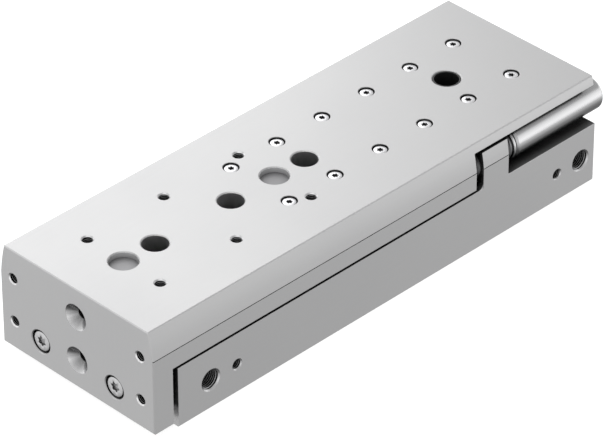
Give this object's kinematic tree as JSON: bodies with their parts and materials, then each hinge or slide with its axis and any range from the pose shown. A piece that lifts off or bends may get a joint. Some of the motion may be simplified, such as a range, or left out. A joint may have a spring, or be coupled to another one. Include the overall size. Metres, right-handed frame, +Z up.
{
  "type": "pneumatic slide table",
  "caption": "Compact pneumatic slide table: an L-shaped slide on a ball guide over a low housing with twin pistons, air ports on one side and shock absorbers.",
  "frame": {"origin": "centre of the housing's underside, which is the mounting face", "axes": "X along the travel, positive as the slide advances; Y towards the side with the air ports; Z up out of the table"},
  "size_m": [0.251, 0.0842, 0.0492],
  "materials": {
    "housing_aluminium": "clear anodised, fine matt, milled faces",
    "slide_aluminium": "clear anodised, fine brushed grain",
    "cap_aluminium": "turned",
    "guide_steel": "hardened and ground",
    "ball_steel": "polished",
    "screw_steel": "bright zinc plate",
    "spring_steel": "dark phosphated",
    "shock_thread_steel": "dark plated thread",
    "shock_sleeve_steel": "bright turned and polished",
    "rod_chrome": "hard chrome",
    "bush_bronze": "sintered bronze",
    "magnet_ferrite": "dark sintered",
    "cap_plastic": "moulded",
    "black_plastic": "moulded black",
    "seal_rubber": "black nitrile"
  },
  "bodies": {
    "housing": {"housing": "housing_aluminium", "guide_runner": "guide_steel", "runner_cap_front": "cap_plastic", "runner_cap_rear": "cap_plastic", "runner_wiper_front": "seal_rubber", "runner_wiper_rear": "seal_rubber", "left_guide_balls": "ball_steel", "right_guide_balls": "ball_steel", "runner_screws": "screw_steel", "runner_cap_screws": "screw_steel", "bore_circlips": "spring_steel", "retract_shock_body": "shock_thread_steel", "retract_lock_ring": "shock_sleeve_steel", "retract_shock_sleeve": "shock_sleeve_steel", "left_rod_gland": "housing_aluminium", "left_gland_ring": "seal_rubber", "left_rod_seal": "seal_rubber", "left_rod_bush": "bush_bronze", "left_rear_cap": "cap_aluminium", "left_cap_ring": "seal_rubber", "left_bumper": "seal_rubber", "right_rod_gland": "housing_aluminium", "right_gland_ring": "seal_rubber", "right_rod_seal": "seal_rubber", "right_rod_bush": "bush_bronze", "right_rear_cap": "cap_aluminium", "right_cap_ring": "seal_rubber", "right_bumper": "seal_rubber"},
    "slide": {"slide": "slide_aluminium", "guide_rail": "guide_steel", "rail_screws": "screw_steel", "access_hole_liner": "black_plastic", "rod_screws": "screw_steel", "piston_nuts": "screw_steel", "advance_shock_body": "shock_thread_steel", "advance_lock_ring": "shock_sleeve_steel", "advance_shock_sleeve": "shock_sleeve_steel", "left_piston": "cap_aluminium", "left_piston_seals": "seal_rubber", "left_piston_magnet": "magnet_ferrite", "left_wear_ring": "cap_plastic", "left_piston_rod": "rod_chrome", "right_piston": "cap_aluminium", "right_piston_seals": "seal_rubber", "right_piston_magnet": "magnet_ferrite", "right_wear_ring": "cap_plastic", "right_piston_rod": "rod_chrome"},
    "retract_plunger": {"retract_plunger": "rod_chrome"},
    "advance_plunger": {"advance_plunger": "rod_chrome"}
  },
  "joints": [
    {"name": "slide_travel", "type": "slide", "parent": "housing", "child": "slide", "axis": [1, 0, 0], "range_m": [0, 0.1]},
    {"name": "retract_plunger_travel", "type": "slide", "parent": "housing", "child": "retract_plunger", "axis": [1, 0, 0], "range_m": [0, 0.009]},
    {"name": "advance_plunger_travel", "type": "slide", "parent": "slide", "child": "advance_plunger", "axis": [-1, 0, 0], "range_m": [0, 0.009]}
  ],
  "couplings": [
    {"joint": "retract_plunger_travel", "follows": "slide_travel", "ratio": 0.09},
    {"joint": "advance_plunger_travel", "follows": "slide_travel", "ratio": 0.09}
  ]
}
